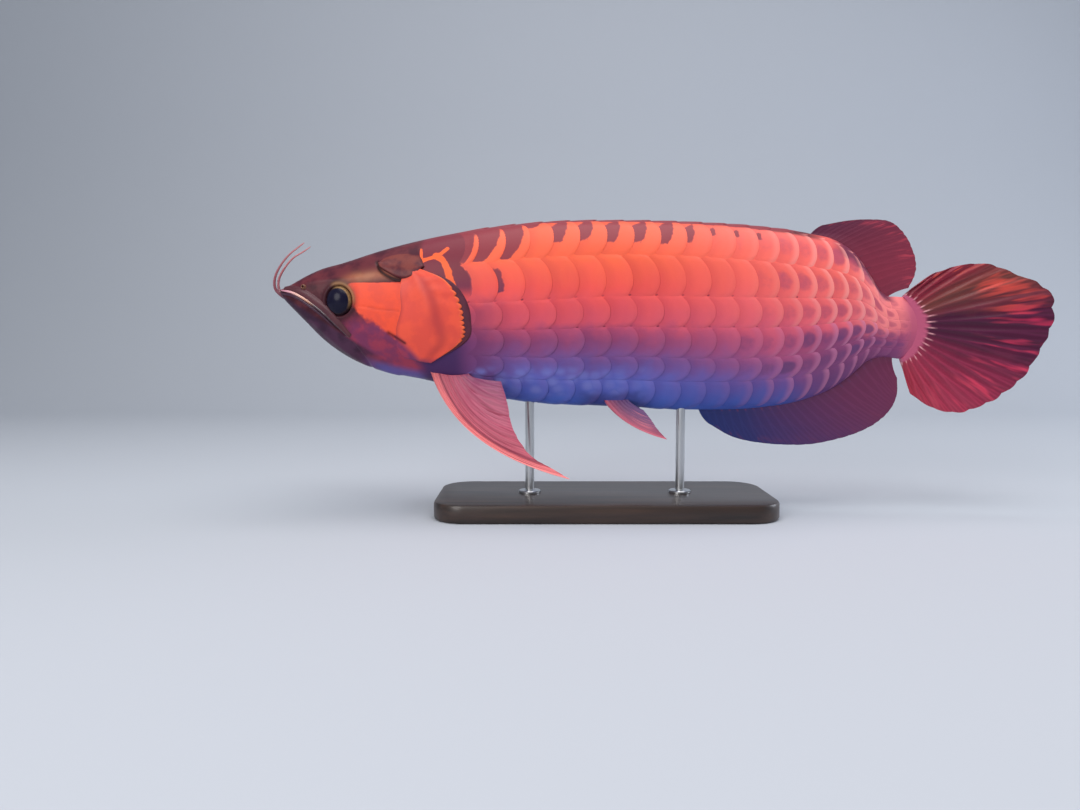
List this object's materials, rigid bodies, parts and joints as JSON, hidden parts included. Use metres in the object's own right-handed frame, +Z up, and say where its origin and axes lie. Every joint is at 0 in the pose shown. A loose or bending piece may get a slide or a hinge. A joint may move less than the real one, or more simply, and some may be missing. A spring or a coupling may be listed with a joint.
{
  "type": "asian arowana display model",
  "caption": "Life-size red Asian arowana with large raised scales, folded-back fins and chin barbels, held by two rods on a flat base.",
  "frame": {"origin": "middle of the bounding box at the underside of the stand's base", "axes": "+X from the head to the tail, so the fish faces -X; +Y to the fish's right side; +Z up"},
  "size_m": [0.6044, 0.1142, 0.2263],
  "materials": {
    "head_skin": "moist skin over bone, tan on top, orange-red on the cheek, satin gloss",
    "jaw_skin": "moist purple-brown skin, satin gloss",
    "gill_cover": "orange-red bony plate, glossy",
    "eye": "black pupil in a golden-brown iris, wet gloss",
    "scales": "large pearly scales, orange-red flank, dark back, lilac belly, glossy",
    "dark_fin": "thin dark red web over brighter red rays, satin gloss",
    "pale_fin": "thin pink web with dark red between pale rays, satin gloss",
    "stand_base": "dark stained wood, satin",
    "stand_rod": "plain brushed steel"
  },
  "bodies": {
    "root": {"head": "head_skin", "lower_jaw": "jaw_skin", "gill_cover_left": "gill_cover", "gill_cover_right": "gill_cover", "eye_left": "eye", "eye_right": "eye", "barbel_left": "jaw_skin", "barbel_right": "jaw_skin", "torso_front": "scales", "torso_rear": "scales", "tail_stalk": "scales", "dorsal_fin": "dark_fin", "anal_fin": "dark_fin", "caudal_fin": "dark_fin", "pectoral_fin_left": "pale_fin", "pectoral_fin_right": "pale_fin", "pelvic_fin_left": "pale_fin", "pelvic_fin_right": "pale_fin", "stand_base": "stand_base", "stand_rod_front": "stand_rod", "stand_rod_rear": "stand_rod"}
  },
  "joints": []
}
